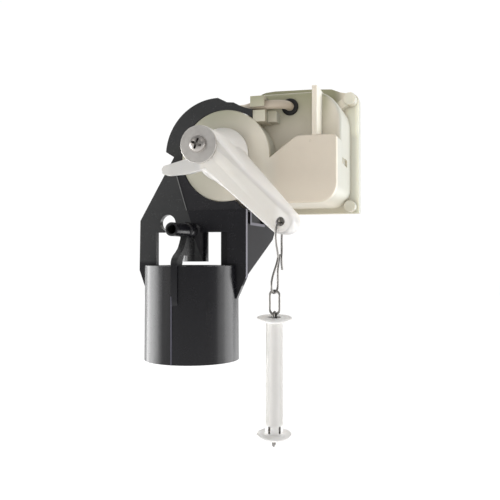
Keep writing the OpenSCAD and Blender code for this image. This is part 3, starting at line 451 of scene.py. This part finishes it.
for name, width in {
    "bracket": 0.35, "case_front": 0.45, "case_back": 0.4, "lever": 0.0, "lever_washer": 0.2, "lever_screw": 0.12,
    "guard_tube": 0.2, "cable_grommet": 0.25, "cable_plug": 0.3, "cable_tie": 0.12, "case_screws": 0.1, "bracket_screws": 0.1,
}.items():
    soften(name, width)
for name in N:
    if not N[name].modifiers:
        soften(name, 0.0)


# ---------------------------------------------------------------- curves
def curve_piece(name, pts, radius, body, slot_name, cyclic=False, res=6, sub=1):
    cu = bpy.data.curves.new(name, "CURVE")
    cu.dimensions = "3D"
    cu.bevel_depth = radius
    cu.bevel_resolution = res
    cu.use_fill_caps = True
    cu.twist_mode = "MINIMUM"
    sp = cu.splines.new("POLY")
    sp.points.add(len(pts) - 1)
    for p, q in zip(sp.points, pts):
        p.co = (*q, 1)
    sp.use_smooth = True
    o = bpy.data.objects.new(name, cu)
    scene.collection.objects.link(o)
    o.data.materials.append(M[slot_name])
    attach(o, body)
    return o


def catmull(pts, steps):
    out = []
    P = [Vector(p) for p in pts]
    for i in range(len(P) - 1):
        a, b, c, d = P[max(i - 1, 0)], P[i], P[i + 1], P[min(i + 2, len(P) - 1)]
        for k in range(steps):
            t = k / steps
            out.append(0.5 * ((2 * b) + (c - a) * t + (2 * a - 5 * b + 4 * c - d) * t * t + (3 * b - a - 3 * c + d) * t * t * t))
    out.append(P[-1])
    return out


# power cable: the lead, the coil behind the case and the tail with its plug
lead = [(44.5, 10.4, 117.5), (44.3, 8.2, 117.5), (43.5, 6.2, 117.5), (42.2, 4.6, 117.4), (40.2, 3.3, 117.3), (37.6, 2.7, 117.2),
        (33, 2.8, 117.1), (29.2, 3.7, 117), (26.5, 5.4, 117), (24.2, 7.8, 117.2), (22.1, 10.8, 117.8), (19.8, 14, 118.5), (16.8, 17.4, 118.9),
        (13, 20.6, 118.7), (9.6, 24.4, 118.2), (6.9, 29, 117.9), (5.1, 34, 117.8), (4.5, 38, 117.8), (4.6, 42, 117.9), (5.4, 46, 118.4), (8, 49.6, 119.6),
        (12, 52.4, 121.3), (17, 54.1, 123), (23, 54.8, 124.4), (30, 55, 125)]
coil_x, coil_z = 38.0, 101.0
coil = []
total = 1080 + 120 + 870
deg = 20
while deg <= total:
    if deg <= 1080:
        r, y = 24.0, 55.05 + 4.1 * deg / 360.0
    elif deg <= 1200:
        t = (deg - 1080) / 120.0
        t = t * t * (3 - 2 * t)
        r, y = 24.0 - 4.0 * t, 67.35 + 0.05 * t
    else:
        r, y = 20.0, 67.4 - 4.1 * (deg - 1200) / 360.0
    a = math.radians(deg)
    coil.append((coil_x + r * math.sin(a), y, coil_z + r * math.cos(a)))
    deg += 18
tail = [(18.1, 57.6, 103), (19.2, 58.2, 106.5), (21.5, 59, 109.2), (24.6, 59.7, 110.8), (28, 60, 111.1), (31.4, 60, 110.2),
        (34.3, 60, 108.2), (36.2, 60, 105.3), (36.9, 60, 102), (37, 60, 97.4)]
route = [mm(p) for p in lead + coil + tail]
route = catmull(route, 3)
cable = curve_piece("power_cable", route, 0.002, "base", "cable_jacket")
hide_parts("cable_lead", "cable_coil", "cable_tail")

# spring clip of round wire
cx, cy = 49.1, -34.6
cu_, cv_ = -0.3, -0.954
clip = [(-3.5, 42.4, -0.55), (-2.4, 44.8, -0.55), (-1.6, 47, -0.55), (-1.6, 49.6, -0.4), (-1.9, 53, -0.1), (-2.25, 56.6, 0), (-2.35, 58.8, 0), (-2.1, 60, 0),
        (-1.2, 61, 0), (0.2, 61.2, 0), (1.45, 61.05, 0), (2.25, 60.3, 0), (2.55, 59, 0), (2.5, 55.8, 0), (2.1, 52.8, 0), (1, 50, 0), (0.1, 47.6, 0.1),
        (0.1, 45.2, 0.2), (1, 42.4, 0.2), (2, 39.6, 0.1), (2.5, 36.8, 0), (2.2, 34.7, 0), (1.2, 33.4, 0), (0, 33.13, 0), (-1.2, 33.4, 0), (-2.2, 34.8, 0),
        (-2.3, 37.4, 0.1), (-1.9, 40.4, 0.3), (-1.6, 43.4, 0.5), (-1.5, 46.4, 0.55), (-1.5, 48.6, 0.5)]


def lean(z):
    q = min(1.0, max(0.0, (z - 34) / 18))
    return 1.9 * q * q * (3 - 2 * q) + 0.6 * max(0.0, (z - 57) / 4)


def drift(z):
    q = min(1.0, max(0.0, (z - 34) / 21))
    return q * q * (3 - 2 * q)


clip_pts = [mm((cx - 0.6 * drift(z) + lean(z) + a * cu_ + s * cv_, cy + 2 * drift(z) + a * cv_ - s * cu_, z)) for a, z, s in clip]
wire = curve_piece("clip_wire", catmull(clip_pts, 6), 0.000475, "clip", "chain_steel", res=8)
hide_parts("spring_clip")


# ---------------------------------------------------------------- stage: floor, light
def stage_mat(name, color, emit):
    m, nt, b = new_mat(name)
    b.inputs["Base Color"].default_value = (*color, 1)
    b.inputs["Roughness"].default_value = 0.9
    b.inputs["Specular IOR Level"].default_value = 0.1
    b.inputs["Emission Color"].default_value = (1, 1, 1, 1)
    b.inputs["Emission Strength"].default_value = emit
    return m


bpy.ops.mesh.primitive_circle_add(vertices=96, radius=8.0, fill_type="NGON", location=(0, 0, -0.42))
floor = bpy.context.object
floor.name = "floor"
floor.data.materials.append(stage_mat("floor", (0.84, 0.84, 0.835), 0.52))

world = bpy.data.worlds.new("studio")
scene.world = world
world.use_nodes = True
wn = world.node_tree
bg = wn.nodes["Background"]
tc = wn.nodes.new("ShaderNodeTexCoord")
sep = wn.nodes.new("ShaderNodeSeparateXYZ")
wn.links.new(tc.outputs["Generated"], sep.inputs["Vector"])
mr = wn.nodes.new("ShaderNodeMapRange")
mr.interpolation_type = "SMOOTHSTEP"
mr.inputs["From Min"].default_value = -0.30
mr.inputs["From Max"].default_value = 0.25
mr.inputs["To Min"].default_value = 0.34
mr.inputs["To Max"].default_value = 1.02
wn.links.new(sep.outputs["Y"], mr.inputs["Value"])
# a darker part of the room beside the table
dim = both(wn, along(wn, tc.outputs["Generated"], (math.cos(math.radians(65)), math.sin(math.radians(65)), 0), 0.94, 0.985),
           along(wn, tc.outputs["Generated"], (0, 0, 1), -0.03, 0.05))
dim = calc(wn, "MULTIPLY", dim, 0.55)
wn.links.new(calc(wn, "MULTIPLY", mr.outputs["Result"], calc(wn, "SUBTRACT", 1.0, dim)), bg.inputs["Strength"])
bg.inputs["Color"].default_value = (1, 1, 1, 1)


def softbox(name, azimuth, elevation, dist, size, radiance, color=(1, 1, 1)):
    """Rectangular light that faces the object, placed by its direction as seen from the object."""
    l = bpy.data.lights.new(name, "AREA")
    l.shape = "RECTANGLE"
    l.size, l.size_y = size
    l.energy = math.pi * size[0] * size[1] * radiance
    l.color = color
    o = bpy.data.objects.new(name, l)
    scene.collection.objects.link(o)
    a, e = math.radians(azimuth), math.radians(elevation)
    tgt = Vector((0.02, 0.0, 0.06))
    o.location = tgt + dist * Vector((math.cos(a) * math.cos(e), math.sin(a) * math.cos(e), math.sin(e)))
    o.rotation_euler = (tgt - o.location).to_track_quat("-Z", "Y").to_euler()
    return o


softbox("left_side", 168, -5, 1.2, (0.66, 0.56), 6.3)
softbox("left_side_2", 194, -5, 1.2, (0.48, 0.56), 7.0)
softbox("right_side", 32, -5, 1.2, (0.85, 0.56), 4.6)
softbox("right_side_2", 4, -5, 1.2, (0.30, 0.56), 1.9)
softbox("right_side_3", 66, -13, 1.2, (0.42, 0.30), 1.6)
softbox("left_front", 228, 14, 1.1, (0.42, 0.9), 1.1, (1, 0.97, 0.92))
softbox("front_right", 300, 38, 1.2, (0.6, 0.5), 1.0, (1, 0.96, 0.91))
